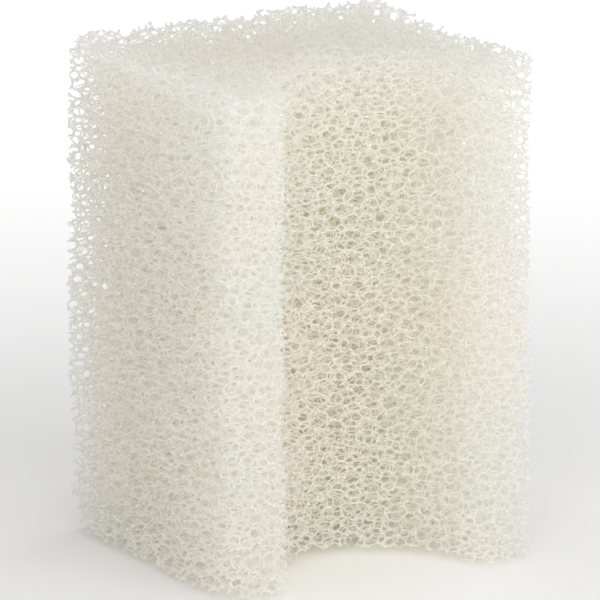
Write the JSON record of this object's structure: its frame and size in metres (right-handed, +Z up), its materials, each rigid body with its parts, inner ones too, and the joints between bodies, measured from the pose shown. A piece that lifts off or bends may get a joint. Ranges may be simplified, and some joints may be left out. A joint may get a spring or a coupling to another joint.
{
  "type": "sponge filter",
  "caption": "Block of coarse open-cell filter foam with a half-round groove down its front face that seats round a filter's tube.",
  "frame": {"origin": "centre of the block's bottom face", "axes": "+Z up along the block's height and the groove, -Y out of the grooved front face, +X across it"},
  "size_m": [0.065, 0.062, 0.095],
  "materials": {
    "foam": "matt, off-white open-cell polyurethane foam"
  },
  "bodies": {
    "root": {"foam_block": "foam"}
  },
  "joints": []
}
